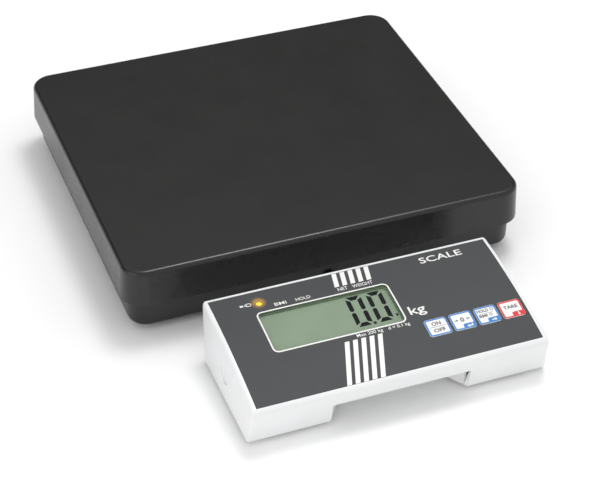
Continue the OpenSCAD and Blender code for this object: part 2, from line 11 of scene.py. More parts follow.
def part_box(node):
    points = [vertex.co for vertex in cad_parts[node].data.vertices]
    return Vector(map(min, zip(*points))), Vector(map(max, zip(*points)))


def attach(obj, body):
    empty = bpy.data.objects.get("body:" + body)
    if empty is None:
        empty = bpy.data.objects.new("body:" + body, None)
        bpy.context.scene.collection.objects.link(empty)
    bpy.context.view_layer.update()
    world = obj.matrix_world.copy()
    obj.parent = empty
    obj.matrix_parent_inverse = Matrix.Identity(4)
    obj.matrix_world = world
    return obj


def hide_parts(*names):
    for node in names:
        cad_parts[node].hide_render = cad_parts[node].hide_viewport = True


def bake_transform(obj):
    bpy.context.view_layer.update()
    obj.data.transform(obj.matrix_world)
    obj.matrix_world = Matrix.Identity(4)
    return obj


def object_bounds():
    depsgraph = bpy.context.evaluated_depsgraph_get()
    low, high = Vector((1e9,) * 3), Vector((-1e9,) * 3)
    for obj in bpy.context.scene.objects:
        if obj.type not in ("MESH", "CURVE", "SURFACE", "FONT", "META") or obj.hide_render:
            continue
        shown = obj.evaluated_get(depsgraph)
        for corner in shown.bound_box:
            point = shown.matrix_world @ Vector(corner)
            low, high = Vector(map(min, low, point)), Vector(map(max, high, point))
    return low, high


bl_info = {
    "name": "Floor scale looks",
    "version": (1, 0, 0),
    "blender": (4, 5, 0),
    "location": "3D View > Sidebar > Floor scale",
    "description": "Finishes, printing, display and studio for a floor scale",
    "category": "Object",
}

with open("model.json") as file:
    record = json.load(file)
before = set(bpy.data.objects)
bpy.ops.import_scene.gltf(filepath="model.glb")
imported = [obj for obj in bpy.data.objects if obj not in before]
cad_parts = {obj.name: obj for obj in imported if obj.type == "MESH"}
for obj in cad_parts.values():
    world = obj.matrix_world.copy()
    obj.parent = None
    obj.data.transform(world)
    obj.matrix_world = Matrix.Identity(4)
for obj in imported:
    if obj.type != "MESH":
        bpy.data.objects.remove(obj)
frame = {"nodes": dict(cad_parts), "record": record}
CAD_BOX = [list(map(float, corner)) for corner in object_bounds()]
MM = 0.001


# ---- places taken from the frame ----

def circle_through(a, b, c):
    """Centre and radius of the circle through three (y, z) points."""
    d = 2 * (a[0] * (b[1] - c[1]) + b[0] * (c[1] - a[1]) + c[0] * (a[1] - b[1]))
    squares = [p[0] ** 2 + p[1] ** 2 for p in (a, b, c)]
    y = (squares[0] * (b[1] - c[1]) + squares[1] * (c[1] - a[1]) + squares[2] * (a[1] - b[1])) / d
    z = (squares[0] * (c[0] - b[0]) + squares[1] * (a[0] - c[0]) + squares[2] * (b[0] - a[0])) / d
    return y, z, math.hypot(a[0] - y, a[1] - z)


def panel_arc():
    """The arc of the overlay's top, as its centre's y and z and its radius."""
    low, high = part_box("keypad_overlay")
    points = [v.co for v in frame["nodes"]["keypad_overlay"].data.vertices]
    edges = []
    for y in (low.y, high.y):
        edges.append((y, max(p.z for p in points if abs(p.y - y) < 0.4 * MM)))
    window_low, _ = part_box("lcd_window")
    inner = [p for p in points if abs(p.y - window_low.y) < 3 * MM and abs(p.x) < 0.09]
    top = max(inner, key=lambda p: p.z)
    return circle_through(edges[0], (top.y, top.z), edges[1])


ARC_Y, ARC_Z, ARC_R = panel_arc()


def panel_slope(y):
    """Angle by which the panel falls towards the reader at y."""
    return math.asin((ARC_Y - y) / ARC_R)


def on_panel(x, y, lift=0.0):
    """Point over the curved panel at plan position x, y."""
    slope = panel_slope(y)
    height = ARC_Z + ARC_R * math.cos(slope)
    return Vector((x, y - lift * math.sin(slope), height + lift * math.cos(slope)))


def slot_of(node):
    """Material slot that the record gives a node."""
    return next(part["material_slot"] for part in frame["record"]["subparts"] if part["node"] == node)


def middle(node):
    """Middle of a node's box."""
    low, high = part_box(node)
    return (low + high) / 2


# ---- settings ----

class StudioSettings(bpy.types.PropertyGroup):
    """Camera, floor and lights."""

    camera_azimuth: bpy.props.FloatProperty(
        name="Azimuth", description="How far the camera stands round to the left",
        default=math.radians(-21.44), subtype="ANGLE")
    camera_elevation: bpy.props.FloatProperty(
        name="Elevation", description="How far the camera looks down",
        default=math.radians(37.79), subtype="ANGLE")
    camera_roll: bpy.props.FloatProperty(
        name="Roll", description="Turn of the camera about its own axis",
        default=math.radians(0.87), subtype="ANGLE")
    camera_distance: bpy.props.FloatProperty(
        name="Distance", description="From the camera to the point that it looks at",
        default=1.383, unit="LENGTH")
    camera_target: bpy.props.FloatVectorProperty(
        name="Target", description="The point on the floor that the camera looks at",
        default=(0.0027, -0.0001, 0.0), subtype="TRANSLATION")
    lens: bpy.props.FloatProperty(
        name="Lens", description="Focal length in millimetres on a 36 mm wide sensor", default=110.3)
    floor_colour: bpy.props.FloatVectorProperty(
        name="Floor", description="Colour of the floor", default=(0.97, 0.97, 0.97),
        subtype="COLOR", min=0, max=1)
    sky_strength: bpy.props.FloatProperty(
        name="Sky", description="Strength of the even light from all round", default=0.85, min=0)
    key_power: bpy.props.FloatProperty(
        name="Key light", description="Power of the large light behind on the right", default=12, min=0)
    fill_power: bpy.props.FloatProperty(
        name="Fill light", description="Power of the low light on the left", default=5, min=0)


class ScaleSettings(bpy.types.PropertyGroup):
    """Sizes and colours of the scale's looks."""

    housing_round: bpy.props.FloatProperty(
        name="Housing edge", description="Radius of the display housing's side edges",
        default=2.4 * MM, unit="LENGTH")
    print_t: bpy.props.FloatProperty(
        name="Print thickness", description="Thickness of printed ink", default=0.05 * MM, unit="LENGTH")
    cover_colour: bpy.props.FloatVectorProperty(
        name="Cover", description="Colour of the platform's cover", default=(0.006, 0.006, 0.0055),
        subtype="COLOR", min=0, max=1)
    tray_colour: bpy.props.FloatVectorProperty(
        name="Tray", description="Colour of the base tray", default=(0.005, 0.005, 0.0052),
        subtype="COLOR", min=0, max=1)
    housing_colour: bpy.props.FloatVectorProperty(
        name="Housing", description="Colour of the display unit's shells", default=(0.86, 0.865, 0.87),
        subtype="COLOR", min=0, max=1)
    overlay_colour: bpy.props.FloatVectorProperty(
        name="Overlay", description="Colour of the panel film", default=(0.07, 0.072, 0.075),
        subtype="COLOR", min=0, max=1)
    lcd_colour: bpy.props.FloatVectorProperty(
        name="LCD", description="Colour of the unlit display", default=(0.225, 0.31, 0.205),
        subtype="COLOR", min=0, max=1)
    ink_blue: bpy.props.FloatVectorProperty(
        name="Blue ink", description="Border of the first three keys", default=(0.02, 0.19, 0.54),
        subtype="COLOR", min=0, max=1)
    ink_red: bpy.props.FloatVectorProperty(
        name="Red ink", description="Border of the tare key", default=(0.68, 0.008, 0.008),
        subtype="COLOR", min=0, max=1)


def studio():
    return bpy.context.scene.scale_studio


def looks():
    return bpy.context.scene.scale_looks


# ---- materials ----

def set_range(node, start, end, low, high):
    """Makes a map-range node carry start to end onto low to high."""
    for name, number in (("From Min", start), ("From Max", end), ("To Min", low), ("To Max", high)):
        node.inputs[name].default_value = number


class Finish:
    """A node material that is built up a layer at a time."""

    def __init__(self, name, colour, roughness=0.5, **sockets):
        self.material = bpy.data.materials.new(name)
        self.material.use_nodes = True
        self.tree = self.material.node_tree
        self.shader = next(n for n in self.tree.nodes if n.type == "BSDF_PRINCIPLED")
        self.place = self.add("ShaderNodeTexCoord").outputs["Object"]
        self.shader.inputs["Base Color"].default_value = (*colour, 1)
        self.shader.inputs["Roughness"].default_value = roughness
        for socket, value in sockets.items():
            self.shader.inputs[socket.replace("_", " ")].default_value = value
        self.colour = colour
        self.material.diffuse_color = (*colour, 1)

    def add(self, kind, **settings):
        node = self.tree.nodes.new(kind)
        for name, value in settings.items():
            setattr(node, name, value)
        return node

    def link(self, out, into):
        self.tree.links.new(out, into)

    def stretched(self, stretch):
        mapping = self.add("ShaderNodeMapping")
        mapping.inputs["Scale"].default_value = stretch
        self.link(self.place, mapping.inputs["Vector"])
        return mapping.outputs["Vector"]

    def noise(self, size, detail=3.0, stretch=None):
        """Noise whose spots are about size metres across."""
        noise = self.add("ShaderNodeTexNoise")
        noise.inputs["Scale"].default_value = 1 / size
        noise.inputs["Detail"].default_value = detail
        self.link(self.stretched(stretch) if stretch else self.place, noise.inputs["Vector"])
        return noise.outputs["Fac"]

    def spread(self, value, low, high, start=0.35, end=0.65):
        """Maps noise to a range of values."""
        spread = self.add("ShaderNodeMapRange")
        set_range(spread, start, end, low, high)
        self.link(value, spread.inputs["Value"])
        return spread.outputs["Result"]

    def tint(self, value, other):
        """Mixes the colour towards another one where value is high."""
        mix = self.add("ShaderNodeMix", data_type="RGBA")
        base = self.shader.inputs["Base Color"]
        source = base.links[0].from_socket if base.links else None
        if source:
            self.link(source, mix.inputs["A"])
        else:
            mix.inputs["A"].default_value = (*self.colour, 1)
        mix.inputs["B"].default_value = (*other, 1)
        self.link(value, mix.inputs["Factor"])
        self.link(mix.outputs["Result"], base)
        return self

    def mottle(self, size, amount, stretch=None):
        """Slight lighter and darker patches."""
        lighter = [min(1, c * (1 + amount) + 0.01 * amount) for c in self.colour]
        return self.tint(self.spread(self.noise(size, 4, stretch), 0, 1, 0.3, 0.7), lighter)

    def uneven(self, size, low, high, stretch=None):
        """Roughness that wanders between two values."""
        wander = self.spread(self.noise(size, 4, stretch), low, high, 0.3, 0.7)
        self.link(wander, self.shader.inputs["Roughness"])
        return self

    def grain(self, size, height, strength=0.5, stretch=None, detail=2.0):
        """Fine raised texture, height in metres."""
        bump = self.add("ShaderNodeBump")
        bump.inputs["Strength"].default_value = strength
        bump.inputs["Distance"].default_value = height
        self.link(self.noise(size, detail, stretch), bump.inputs["Height"])
        normal = self.shader.inputs["Normal"]
        if normal.links:
            self.link(normal.links[0].from_socket, bump.inputs["Normal"])
        self.link(bump.outputs["Normal"], normal)
        return self


def cover_finish():
    """Satin black plastic with a fine spark texture and faint wear."""
    finish = Finish("cover_plastic", looks().cover_colour, 0.28)
    finish.mottle(0.05, 0.2).uneven(0.03, 0.25, 0.3).grain(0.0009, 0.00003, 0.25)
    return finish.material


def tray_finish():
    finish = Finish("tray_plastic", looks().tray_colour, 0.34)
    finish.mottle(0.04, 0.3).uneven(0.02, 0.3, 0.38).grain(0.0012, 0.00004, 0.3)
    return finish.material


def painted_reveal_shade(finish):
    """Mask of the opening's walls round the LCD, where painted shade goes: the white walls get a darkened
    LCD green that stands in for the shaded recess round the cell.
    """
    low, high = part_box("lcd_window")
    centre = middle("lcd_window")
    shift = finish.add("ShaderNodeVectorMath", operation="SUBTRACT")
    finish.link(finish.place, shift.inputs[0])
    shift.inputs[1].default_value = centre
    reach = finish.add("ShaderNodeVectorMath", operation="ABSOLUTE")
    finish.link(shift.outputs["Vector"], reach.inputs[0])
    split = finish.add("ShaderNodeSeparateXYZ")
    finish.link(reach.outputs["Vector"], split.inputs["Vector"])
    mask = None
    for axis, half, spare in (("X", high.x - centre.x, 1.0), ("Y", high.y - centre.y, 1.0),
                              ("Z", high.z - centre.z, 2.0)):
        near = finish.add("ShaderNodeMath", operation="LESS_THAN")
        near.inputs[1].default_value = half + spare * MM
        finish.link(split.outputs[axis], near.inputs[0])
        if mask is None:
            mask = near.outputs["Value"]
            continue
        both = finish.add("ShaderNodeMath", operation="MULTIPLY")
        finish.link(mask, both.inputs[0])
        finish.link(near.outputs["Value"], both.inputs[1])
        mask = both.outputs["Value"]
    return mask


def housing_finish():
    """White satin moulding, very slightly cloudy."""
    finish = Finish("white_plastic", looks().housing_colour, 0.4, Subsurface_Weight=0.04)
    finish.shader.inputs["Subsurface Scale"].default_value = 0.002
    finish.tint(finish.spread(finish.noise(0.03, 4), 0, 1, 0.35, 0.7), (0.83, 0.84, 0.845))
    # Painted shade: the walls of the LCD opening are tinted a darkened LCD green in place of the shade in
    # that recess.
    finish.tint(painted_reveal_shade(finish), [0.85 * c for c in looks().lcd_colour])
    finish.uneven(0.01, 0.34, 0.46).grain(0.0007, 0.00004, 0.3)
    return finish.material


def overlay_finish():
    """Matt panel film with the amber light's halo around its hole."""
    finish = Finish("overlay_film", looks().overlay_colour, 0.5, Specular_IOR_Level=0.15)
    finish.mottle(0.02, 0.04).uneven(0.004, 0.47, 0.53).grain(0.0004, 0.00002, 0.25)
    lamp = middle("indicator_led")
    distance = finish.add("ShaderNodeVectorMath", operation="DISTANCE")
    finish.link(finish.place, distance.inputs[0])
    distance.inputs[1].default_value = (lamp.x, lamp.y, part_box("indicator_led")[1].z)
    halo = finish.add("ShaderNodeMapRange", interpolation_type="SMOOTHERSTEP")
    set_range(halo, 6.8 * MM, 1.5 * MM, 0, 0.42)
    finish.link(distance.outputs["Value"], halo.inputs["Value"])
    finish.shader.inputs["Emission Color"].default_value = (1, 0.5, 0.02, 1)
    finish.link(halo.outputs["Result"], finish.shader.inputs["Emission Strength"])
    return finish.material


def ink_finish(name, colour):
    finish = Finish(name, colour, 0.4)
    finish.mottle(0.002, 0.05).uneven(0.002, 0.36, 0.46).grain(0.0005, 0.00001, 0.2)
    return finish.material


def window_finish():
    finish = Finish("clear_window", (0.03, 0.035, 0.033), 0.15, Alpha=0.03, Specular_IOR_Level=0.3)
    finish.mottle(0.01, 0.1).uneven(0.03, 0.12, 0.18)
    return finish.material


def lcd_finish():
    """Reflective grey-green cell with a faint cloudiness."""
    finish = Finish("lcd_glass", looks().lcd_colour, 0.32)
    finish.mottle(0.02, 0.08).uneven(0.01, 0.28, 0.36).grain(0.0003, 0.00001, 0.2)
    return finish.material


def rubber_finish():
    finish = Finish("rubber", (0.012, 0.012, 0.012), 0.75)
    finish.mottle(0.006, 0.5).uneven(0.004, 0.65, 0.85).grain(0.0006, 0.0001, 0.5)
    return finish.material


def bumper_finish():
    finish = Finish("clear_bumper", (0.62, 0.65, 0.68), 0.25, Alpha=0.85)
    finish.mottle(0.002, 0.08).uneven(0.002, 0.2, 0.35).grain(0.001, 0.00003, 0.2)
    return finish.material


def metal_finish(name, colour, low, high, stretch, wear):
    finish = Finish(name, colour, low, Metallic=1.0)
    finish.mottle(0.004, wear).uneven(0.003, low, high, stretch)
    finish.grain(0.0006, 0.00004, 0.4, stretch)
    return finish.material


def painted_finish(name, colour, roughness=0.5):
    finish = Finish(name, colour, roughness)
    finish.mottle(0.01, 0.25).uneven(0.008, roughness - 0.08, roughness + 0.1).grain(0.0008, 0.00006, 0.5)
    return finish.material


def board_finish():
    """Green solder mask with copper lands under it."""
    finish = Finish("circuit_board", (0.01, 0.1, 0.035), 0.3)
    tracks = finish.add("ShaderNodeTexBrick")
    tracks.inputs["Scale"].default_value = 120
    tracks.inputs["Mortar Size"].default_value = 0.012
    finish.link(finish.place, tracks.inputs["Vector"])
    finish.tint(tracks.outputs["Fac"], (0.03, 0.2, 0.07))
    finish.uneven(0.004, 0.25, 0.4).grain(0.0005, 0.00003, 0.4)
    return finish.material


def battery_finish():
    """Blue sleeve with a pale band towards one end."""
    finish = Finish("battery_sleeve", (0.02, 0.09, 0.3), 0.25)
    low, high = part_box("battery_cells")
    split = finish.add("ShaderNodeSeparateXYZ")
    finish.link(finish.place, split.inputs["Vector"])
    band = finish.add("ShaderNodeMapRange", interpolation_type="SMOOTHSTEP")
    set_range(band, low.y * 0.45 + high.y * 0.55, low.y * 0.44 + high.y * 0.56, 0, 1)
    finish.link(split.outputs["Y"], band.inputs["Value"])
    finish.tint(band.outputs["Result"], (0.5, 0.5, 0.52))
    finish.uneven(0.003, 0.2, 0.34).grain(0.002, 0.00003, 0.3)
    return finish.material


def lamp_finish():
    finish = Finish("amber_led", (1.0, 0.62, 0.03), 0.3)
    finish.shader.inputs["Emission Color"].default_value = (1.0, 0.72, 0.03, 1)
    finish.shader.inputs["Emission Strength"].default_value = 1.3
    finish.mottle(0.001, 0.1).uneven(0.001, 0.25, 0.4)
    return finish.material


def floor_finish():
    finish = Finish("studio_floor", studio().floor_colour, 0.9)
    finish.mottle(0.3, 0.01)
    finish.shader.inputs["Specular IOR Level"].default_value = 0.1
    return finish.material


ALONG_X = (0.15, 1, 1)


def make_finishes():
    """Every material slot's finish, by slot name."""
    return {
        "cover_plastic": cover_finish(),
        "tray_plastic": tray_finish(),
        "white_plastic": housing_finish(),
        "overlay_film": overlay_finish(),
        "clear_window": window_finish(),
        "lcd_glass": lcd_finish(),
        "rubber": rubber_finish(),
        "clear_bumper": bumper_finish(),
        "silicone": painted_finish("silicone", (0.6, 0.6, 0.57), 0.6),
        "cable_jacket": painted_finish("cable_jacket", (0.02, 0.02, 0.022), 0.55),
        "black_nylon": painted_finish("black_nylon", (0.006, 0.006, 0.0062), 0.34),
        "circuit_film": painted_finish("circuit_film", (0.45, 0.26, 0.07), 0.35),
        "key_film": ink_finish("key_film", (0.86, 0.86, 0.86)),
        "frame_steel": painted_finish("frame_steel", (0.05, 0.058, 0.062), 0.5),
        "circuit_board": board_finish(),
        "battery_sleeve": battery_finish(),
        "amber_led": lamp_finish(),
        "brass": metal_finish("brass", (0.6, 0.42, 0.16), 0.22, 0.4, ALONG_X, 0.1),
        "steel": metal_finish("steel", (0.52, 0.53, 0.55), 0.28, 0.45, ALONG_X, 0.12),
        "screw_steel": metal_finish("screw_steel", (0.5, 0.5, 0.52), 0.25, 0.4, None, 0.15),
        "aluminium": metal_finish("aluminium", (0.68, 0.69, 0.71), 0.25, 0.42, ALONG_X, 0.08),
        "contact_metal": metal_finish("contact_metal", (0.62, 0.62, 0.63), 0.15, 0.3, None, 0.1),
    }


FINISHES = {}


# ---- mesh helpers ----

def new_piece(name, mesh, body, material, replaced=()):
    piece = bpy.data.objects.new(name, mesh)
    bpy.context.scene.collection.objects.link(piece)
    mesh.materials.clear()
    mesh.materials.append(material)
    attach(piece, body)
    if replaced:
        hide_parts(*replaced)
    return piece


def hull(points):
    """Convex outline of (y, z) points, anticlockwise."""
    points = sorted(set((round(y, 7), round(z, 7)) for y, z in points))

    def half(ordered):
        chain = []
        for p in ordered:
            while len(chain) > 1 and turn(chain[-2], chain[-1], p) <= 1e-12:
                chain.pop()
            chain.append(p)
        return chain[:-1]

    def turn(a, b, c):
        return (b[0] - a[0]) * (c[1] - a[1]) - (b[1] - a[1]) * (c[0] - a[0])

    return half(points) + half(points[::-1])


def smooth_by_angle(bm, angle=math.radians(32)):
    for face in bm.faces:
        face.smooth = True
    for edge in bm.edges:
        edge.smooth = len(edge.link_faces) == 2 and edge.calc_face_angle(math.pi) < angle


def round_outline(width, length, radius, steps=6):
    """Corner-rounded rectangle about the origin, anticlockwise."""
    points = []
    for turn, (sx, sy) in enumerate(((1, 1), (-1, 1), (-1, -1), (1, -1))):
        for i in range(steps + 1):
            angle = math.pi / 2 * (turn + i / steps)
            points.append((sx * (width / 2 - radius) + radius * math.cos(angle),
                           sy * (length / 2 - radius) + radius * math.sin(angle)))
    return points


def moved(outline, x, y):
    return [(px + x, py + y) for px, py in outline]


def millimetres(*points):
    return [(x * MM, y * MM) for x, y in points]


def flat_solid(shapes, place, low, high):
    """Thin printed shapes. A shape is one outline, or two for a ring; place maps (x, y, lift) to a point."""
    bm = bmesh.new()
    for shape in shapes:
        ring = isinstance(shape[0][0], (list, tuple))
        loops = shape if ring else [shape]
        tops = [[bm.verts.new(place(x, y, high)) for x, y in loop] for loop in loops]
        feet = [[bm.verts.new(place(x, y, low)) for x, y in loop] for loop in loops]
        count = len(tops[0])
        for i in range(count if ring else 0):
            j = (i + 1) % count
            bm.faces.new((tops[0][i], tops[0][j], tops[1][j], tops[1][i]))
            bm.faces.new((feet[0][j], feet[0][i], feet[1][i], feet[1][j]))
        if not ring:
            bm.faces.new(tops[0])
            bm.faces.new(feet[0][::-1])
        for top, foot in zip(tops, feet):
            for i in range(count):
                j = (i + 1) % count
                bm.faces.new((top[j], top[i], foot[i], foot[j]))
    bmesh.ops.recalc_face_normals(bm, faces=bm.faces)
    mesh = bpy.data.meshes.new("printed")
    bm.to_mesh(mesh)
    bm.free()
    return mesh


def stripe(x, width, y_from, y_to, slant, place, low, high, steps=12):
    """A stripe in short lengths that bend with the panel. Slant is its sideways run per length."""
    bm = bmesh.new()
    rows = []
    for i in range(steps + 1):
        y = y_from + (y_to - y_from) * i / steps
        left = x + (y - y_from) * slant
        rows.append([bm.verts.new(place(px, y, lift))
                     for px, lift in ((left, high), (left + width, high), (left + width, low), (left, low))])
    for a, b in zip(rows, rows[1:]):
        for i in range(4):
            j = (i + 1) % 4
            bm.faces.new((a[i], a[j], b[j], b[i]))
    bm.faces.new(rows[0])
    bm.faces.new(rows[-1][::-1])
    bmesh.ops.recalc_face_normals(bm, faces=bm.faces)
    mesh = bpy.data.meshes.new("stripe")
    bm.to_mesh(mesh)
    bm.free()
    return mesh


def lettering(words, x, y, width, height, place, low, high, weight=0.02):
    """Plain generic lettering that fills a box of the given size about (x, y)."""
    curve = bpy.data.curves.new("lettering", "FONT")
    curve.body = words
    curve.extrude = 0.5
    curve.resolution_u = 3
    curve.offset = weight
    holder = bpy.data.objects.new("lettering", curve)
    bpy.context.scene.collection.objects.link(holder)
    bpy.context.view_layer.update()
    mesh = bpy.data.meshes.new_from_object(holder)
    bpy.data.objects.remove(holder)
    bm = bmesh.new()
    bm.from_mesh(mesh)
    bmesh.ops.remove_doubles(bm, verts=bm.verts, dist=0.0005)
    xs = [v.co.x for v in bm.verts]
    ys = [v.co.y for v in bm.verts]
    for vertex in bm.verts:
        across = (vertex.co.x - min(xs)) / (max(xs) - min(xs)) - 0.5
        up = (vertex.co.y - min(ys)) / (max(ys) - min(ys)) - 0.5
        vertex.co = place(x + across * width, y + up * height, high if vertex.co.z > 0 else low)
    bmesh.ops.recalc_face_normals(bm, faces=bm.faces)
    bm.to_mesh(mesh)
    bm.free()
    return mesh


def joined(meshes, name):
    """One mesh from several."""
    bm = bmesh.new()
    for mesh in meshes:
        bm.from_mesh(mesh)
    result = bpy.data.meshes.new(name)
    bm.to_mesh(result)
    bm.free()
    for mesh in meshes:
        bpy.data.meshes.remove(mesh)
    return result


def on_face(node):
    """Place function for the flat top of a node that is tilted with the panel; (0, 0) is its middle."""
    mesh = frame["nodes"][node].data
    widest = max(mesh.polygons, key=lambda face: face.area * face.normal.z)
    normal = Vector((0, widest.normal.y, widest.normal.z)).normalized()
    along = Vector((0, normal.z, -normal.y))
    top = max(v.co.dot(normal) for v in mesh.vertices)
    rim = [v.co for v in mesh.vertices if v.co.dot(normal) > top - 0.02 * MM]
    run = [p.dot(along) for p in rim]
    across = [p.x for p in rim]
    centre = along * ((min(run) + max(run)) / 2) + normal * top
    centre.x = (min(across) + max(across)) / 2

    def place(x, y, lift):
        return centre + Vector((x, 0, 0)) + along * y + normal * lift

    return place


# ---- operators ----

class SCALE_OT_studio(bpy.types.Operator):
    """Camera, floor and soft lights"""

    bl_idname = "scale.studio"
    bl_label = "Studio"

    def execute(self, context):
        scene = context.scene
        s = studio()
        camera = bpy.data.objects.new("camera", bpy.data.cameras.new("camera"))
        scene.collection.objects.link(camera)
        camera.data.lens = s.lens
        camera.data.sensor_width = 36
        target = Vector(s.camera_target)
        away = Vector((math.sin(s.camera_azimuth) * math.cos(s.camera_elevation),
                       -math.cos(s.camera_azimuth) * math.cos(s.camera_elevation),
                       math.sin(s.camera_elevation)))
        camera.location = target + away * s.camera_distance
        turn = (-away).to_track_quat("-Z", "Y").to_matrix() @ Matrix.Rotation(s.camera_roll, 3, "Z")
        camera.rotation_euler = turn.to_euler()
        camera.data.clip_start, camera.data.clip_end = 0.05, 50
        scene.camera = camera

        bm = bmesh.new()
        bmesh.ops.create_grid(bm, x_segments=8, y_segments=8, size=6)
        mesh = bpy.data.meshes.new("floor")
        bm.to_mesh(mesh)
        bm.free()
        floor = bpy.data.objects.new("floor", mesh)
        floor.location.z = CAD_BOX[0][2] - 0.0002
        scene.collection.objects.link(floor)
        mesh.materials.append(floor_finish())

        world = bpy.data.worlds.new("studio")
        self.sky(world, s.sky_strength)
        scene.world = world
        scene.view_settings.view_transform = "Standard"

        self.light("key_light", (0.4, 0.32, 1.8), 0.6, s.key_power)
        self.light("left_fill", (-1.6, -0.7, 0.5), 1.4, s.fill_power)
        return {"FINISHED"}

    def sky(self, world, strength):
        """A soft room, even all round but for a dark band low down behind the scale."""
        world.use_nodes = True
        tree = world.node_tree
        background = tree.nodes["Background"]
        direction = tree.nodes.new("ShaderNodeTexCoord")
        split = tree.nodes.new("ShaderNodeSeparateXYZ")
        tree.links.new(direction.outputs["Generated"], split.inputs["Vector"])
        rise = self.ramp(tree, split.outputs["Z"], 0.55, 0.65, strength * 0.2, strength)
        horizon = self.ramp(tree, split.outputs["Z"], 0.14, 0.04, strength * 0.2, strength)
        band = tree.nodes.new("ShaderNodeMath")
        band.operation = "MAXIMUM"
        tree.links.new(rise, band.inputs[0])
        tree.links.new(horizon, band.inputs[1])
        behind = self.ramp(tree, split.outputs["Y"], 0.0, 0.4, 0, 1)
        room = tree.nodes.new("ShaderNodeMix")
        room.inputs["A"].default_value = strength
        tree.links.new(band.outputs["Value"], room.inputs["B"])
        tree.links.new(behind, room.inputs["Factor"])
        tree.links.new(room.outputs["Result"], background.inputs["Strength"])
        background.inputs["Color"].default_value = (1, 1, 1, 1)

    def ramp(self, tree, value, start, end, low, high):
        """Maps start to end onto low to high."""
        node = tree.nodes.new("ShaderNodeMapRange")
        set_range(node, start, end, low, high)
        tree.links.new(value, node.inputs["Value"])
        return node.outputs["Result"]

    def light(self, name, place, size, power):
        data = bpy.data.lights.new(name, "AREA")
        data.size = size
        data.energy = power
        lamp = bpy.data.objects.new(name, data)
        lamp.location = place
        lamp.rotation_euler = Vector(place).to_track_quat("Z", "Y").to_euler()
        bpy.context.scene.collection.objects.link(lamp)


class SCALE_OT_finishes(bpy.types.Operator):
    """Gives every CAD node the finish of its material slot"""

    bl_idname = "scale.finishes"
    bl_label = "Finishes"

    def execute(self, context):
        FINISHES.clear()
        FINISHES.update(make_finishes())
        for name, node in frame["nodes"].items():
            node.data.materials.clear()
            node.data.materials.append(FINISHES[slot_of(name)])
        return {"FINISHED"}


class SCALE_OT_housing(bpy.types.Operator):
    """Softens the side edges of the display unit's housing"""

    bl_idname = "scale.housing"
    bl_label = "Rounded housing"

    def execute(self, context):
        source = frame["nodes"]["display_housing"]
        low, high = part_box("display_housing")
        mesh = source.data.copy()
        shell = bpy.data.objects.new("display_housing_rounded", mesh)
        context.scene.collection.objects.link(shell)
        cutter = self.envelope(source.data, low, high)
        trim = shell.modifiers.new("round", "BOOLEAN")
        trim.operation = "INTERSECT"
        trim.solver = "EXACT"
        trim.object = cutter
        context.view_layer.update()
        rounded = bpy.data.meshes.new_from_object(shell.evaluated_get(context.evaluated_depsgraph_get()))
        bpy.data.objects.remove(shell)
        bpy.data.objects.remove(cutter)
        bm = bmesh.new()
        bm.from_mesh(rounded)
        bmesh.ops.remove_doubles(bm, verts=bm.verts, dist=0.002 * MM)
        smooth_by_angle(bm, math.radians(28))
        bm.to_mesh(rounded)
        bm.free()
        if len(rounded.polygons) < 100:
            raise RuntimeError("the rounded housing came out empty")
        new_piece("housing_shell", rounded, "display", FINISHES["white_plastic"],
                  ("display_housing",))
        return {"FINISHED"}

    def outline(self, mesh, x):
        """Outer (y, z) outline of the housing where a plane at x cuts it."""
        bm = bmesh.new()
        bm.from_mesh(mesh)
        bmesh.ops.remove_doubles(bm, verts=bm.verts, dist=0.001 * MM)
        cut = bmesh.ops.bisect_plane(bm, geom=bm.verts[:] + bm.edges[:] + bm.faces[:],
                                     plane_co=(x, 0, 0), plane_no=(1, 0, 0),
                                     clear_inner=True, clear_outer=True)
        points = [(v.co.y, v.co.z) for v in cut["geom_cut"] if isinstance(v, bmesh.types.BMVert)]
        bm.free()
        return hull(points)

    def envelope(self, mesh, low, high):
        """A solid just larger than the housing, with its side edges rounded."""
        radius = looks().housing_round
        clear = 0.06 * MM  # how far the envelope stands off the faces that stay as they are
        half = max(abs(low.x), abs(high.x)) + 0.05 * MM
        top_half = max(v.co.x for v in mesh.vertices if v.co.z > high.z - 1.5 * MM)
        lean = (half - 0.05 * MM - top_half) / (high.z - 1.5 * MM - low.z)
        outline = self.outline(mesh, top_half - 1.2 * MM)
        rear, front = max(p[0] for p in outline), min(p[0] for p in outline)
        y_mid = (front + rear) / 2
        y_half = (rear - front) / 2
        z_mid = (low.z + high.z) / 2
        stations = []
        for i in range(9):
            angle = math.pi / 2 * i / 8
            stations.append((half - radius * (1 - math.sin(angle)), radius * (1 - math.cos(angle))))
        sections = [(-x, inset) for x, inset in reversed(stations)] + stations
        bm = bmesh.new()
        rings = []
        for x, inset in sections:
            ring = []
            for y, z in outline:
                reach = (y - y_mid) / y_half
                grown_y = y_mid + reach * (y_half + clear - inset)
                rise = (z - low.z) / (high.z - low.z)
                grown_z = z + clear - inset * rise if z > z_mid * 0.5 else z - clear
                side = math.copysign(abs(x) - lean * max(0, grown_z - low.z), x)
                ring.append(bm.verts.new((side, grown_y, grown_z)))
            rings.append(ring)
        for a, b in zip(rings, rings[1:]):
            for i in range(len(a)):
                j = (i + 1) % len(a)
                bm.faces.new((a[i], a[j], b[j], b[i]))
        bm.faces.new(rings[0])
        bm.faces.new(rings[-1][::-1])
        bmesh.ops.recalc_face_normals(bm, faces=bm.faces)
        result = bpy.data.meshes.new("envelope")
        bm.to_mesh(result)
        bm.free()
        holder = bpy.data.objects.new("envelope", result)
        bpy.context.scene.collection.objects.link(holder)
        return holder


